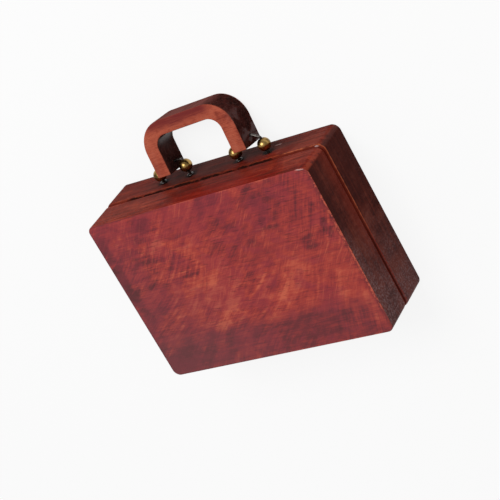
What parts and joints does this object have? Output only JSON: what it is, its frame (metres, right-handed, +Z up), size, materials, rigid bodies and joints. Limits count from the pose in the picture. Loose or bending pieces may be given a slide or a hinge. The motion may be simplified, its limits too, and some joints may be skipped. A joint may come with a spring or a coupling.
{
  "type": "compartment storage box",
  "caption": "Small wooden box shaped like a travelling case, with a hinged lid, a divided tray inside and a swinging arched handle on bent wires with brass beads.",
  "frame": {"origin": "middle of the tray panel's underside, on the surface that the case lies on", "axes": "+X along the handle's bar, +Y from the handle side to the hinge side, +Z up through the lid"},
  "size_m": [0.1, 0.0956, 0.03],
  "materials": {
    "tray_wood": "dark red-brown stain under satin varnish, worn lighter along the edges",
    "divider_wood": "thin boards, oiled, unvarnished",
    "lid_panel_wood": "crimson-brown stain under satin varnish, sanding scratches",
    "lid_rail_wood": "red-brown stain under satin varnish, lengthwise grain",
    "handle_wood": "terracotta faces and near-black edges under glossy varnish",
    "hinge_brass": "rolled sheet, dulled",
    "bead_brass": "polished, aged",
    "wire_steel": "drawn wire, darkened",
    "magnet_nickel": "nickel plated, satin"
  },
  "bodies": {
    "tray": {"tray_panel": "tray_wood", "tray_rail_handle_side": "tray_wood", "tray_rail_hinge_side": "tray_wood", "tray_rail_left": "tray_wood", "tray_rail_right": "tray_wood", "divider_long": "divider_wood", "divider_cross_left": "divider_wood", "divider_cross_right": "divider_wood", "tray_magnets": "magnet_nickel", "hinge_left_tray_leaf": "hinge_brass", "hinge_left_pin": "hinge_brass", "hinge_right_tray_leaf": "hinge_brass", "hinge_right_pin": "hinge_brass", "tray_leaf_nails": "hinge_brass", "wire_left": "wire_steel", "wire_right": "wire_steel", "bead_left_outer": "bead_brass", "bead_left_inner": "bead_brass", "bead_right_inner": "bead_brass", "bead_right_outer": "bead_brass"},
    "lid": {"lid_panel": "lid_panel_wood", "lid_rail_handle_side": "lid_rail_wood", "lid_rail_hinge_side": "lid_rail_wood", "lid_rail_left": "lid_rail_wood", "lid_rail_right": "lid_rail_wood", "lid_magnets": "magnet_nickel", "hinge_left_lid_leaf": "hinge_brass", "hinge_right_lid_leaf": "hinge_brass", "lid_leaf_nails": "hinge_brass"},
    "handle": {"handle": "handle_wood"}
  },
  "joints": [
    {"name": "lid_hinge", "type": "hinge", "parent": "tray", "child": "lid", "pos_m": [0, 0.0341, 0.015], "axis": [-1, 0, 0], "range_deg": [0, 98]},
    {"name": "handle_swing", "type": "hinge", "parent": "tray", "child": "handle", "pos_m": [0, -0.0425, 0.0084], "axis": [-0.9996, -0.0297, 0], "range_deg": [0, 102]}
  ]
}
